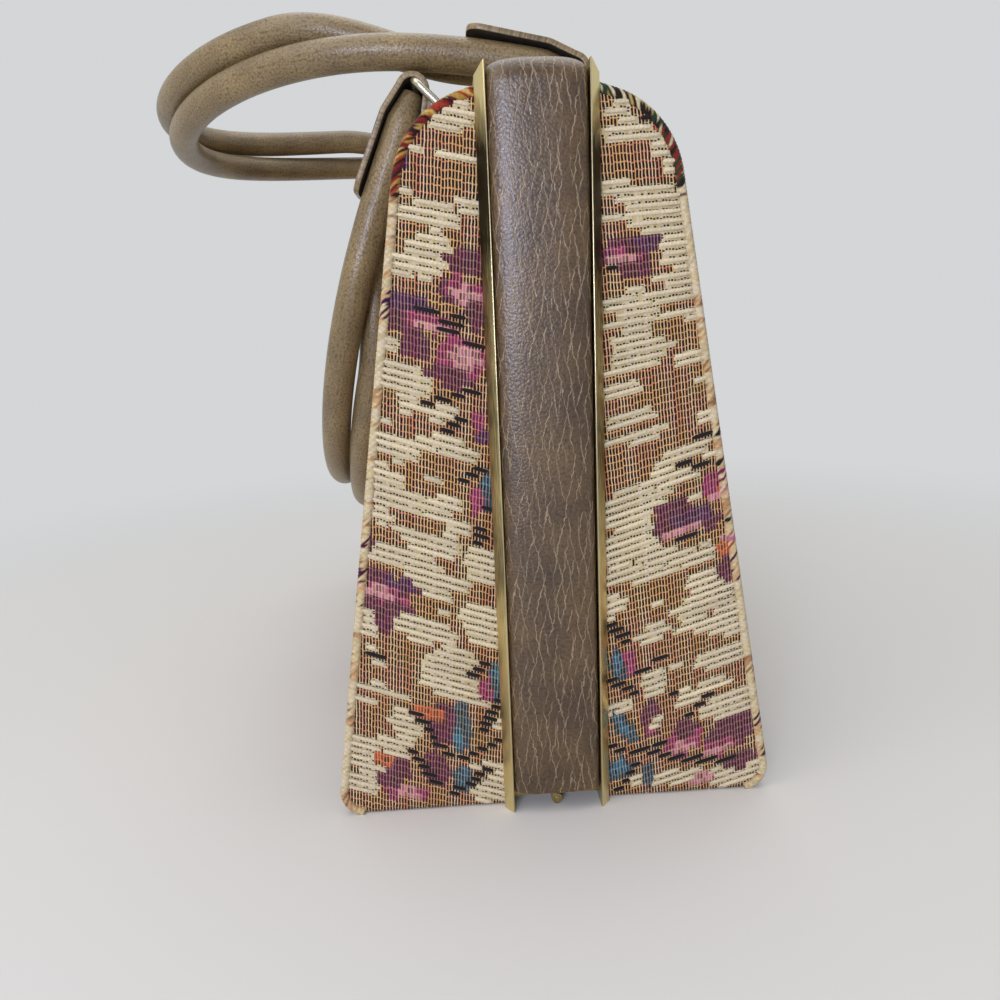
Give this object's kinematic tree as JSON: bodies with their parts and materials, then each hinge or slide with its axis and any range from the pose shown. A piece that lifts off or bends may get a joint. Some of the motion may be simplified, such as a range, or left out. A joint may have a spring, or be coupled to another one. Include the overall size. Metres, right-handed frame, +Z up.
{
  "type": "handbag",
  "caption": "Tapestry frame handbag that opens on a hinge along its base, with a leather centre band, brass mouldings and rolled leather handles on rings.",
  "frame": {"origin": "middle of the bag on the plane of its base", "axes": "+X along the bag to its right end, +Y from the front shell to the back shell, +Z up"},
  "size_m": [0.2832, 0.2182, 0.2634],
  "materials": {
    "tapestry": "woven",
    "welt": "twisted cord",
    "lining": "matte",
    "band_leather": "grained",
    "handle_leather": "smooth",
    "brass": "aged",
    "wire": "worn"
  },
  "bodies": {
    "front_half": {"front_shell": "tapestry", "front_lining": "lining", "front_moulding": "brass", "centre_band": "band_leather", "front_hinge_leaf": "brass", "hinge_pin": "brass", "front_leaf_rivets": "brass", "front_welt_left": "welt", "front_welt_right": "welt", "clasp_case": "brass", "front_eye_left": "brass", "front_eye_right": "brass", "front_ring_left": "wire", "front_ring_right": "wire"},
    "back_half": {"back_shell": "tapestry", "back_lining": "lining", "back_moulding": "brass", "back_hinge_leaf": "brass", "back_leaf_rivets": "brass", "back_welt_left": "welt", "back_welt_right": "welt", "clasp_tongue": "brass", "back_eye_left": "brass", "back_eye_right": "brass"},
    "back_rings": {"back_ring_left": "wire", "back_ring_right": "wire"},
    "back_handle": {"back_tab_left": "handle_leather", "back_tab_right": "handle_leather", "back_cord_outer": "handle_leather", "back_cord_inner": "handle_leather"},
    "front_handle": {"front_tab_left": "handle_leather", "front_tab_right": "handle_leather", "front_cord_outer": "handle_leather", "front_cord_inner": "handle_leather"}
  },
  "joints": [
    {"name": "bag_opening", "type": "hinge", "parent": "front_half", "child": "back_half", "pos_m": [0, 0, 0.0021], "axis": [-1, 0, 0], "range_deg": [0, 30]},
    {"name": "back_ring_swing", "type": "hinge", "parent": "back_half", "child": "back_rings", "pos_m": [0, 0.025, 0.2255], "axis": [-1, 0, 0], "range_deg": [0, 25]},
    {"name": "back_handle_swing", "type": "hinge", "parent": "back_rings", "child": "back_handle", "pos_m": [0, 0.01786, 0.23812], "axis": [-1, 0, 0], "range_deg": [0, 172]},
    {"name": "front_handle_swing", "type": "hinge", "parent": "front_half", "child": "front_handle", "pos_m": [0, -0.03525, 0.23575], "axis": [-1, 0, 0], "range_deg": [0, 38]}
  ]
}
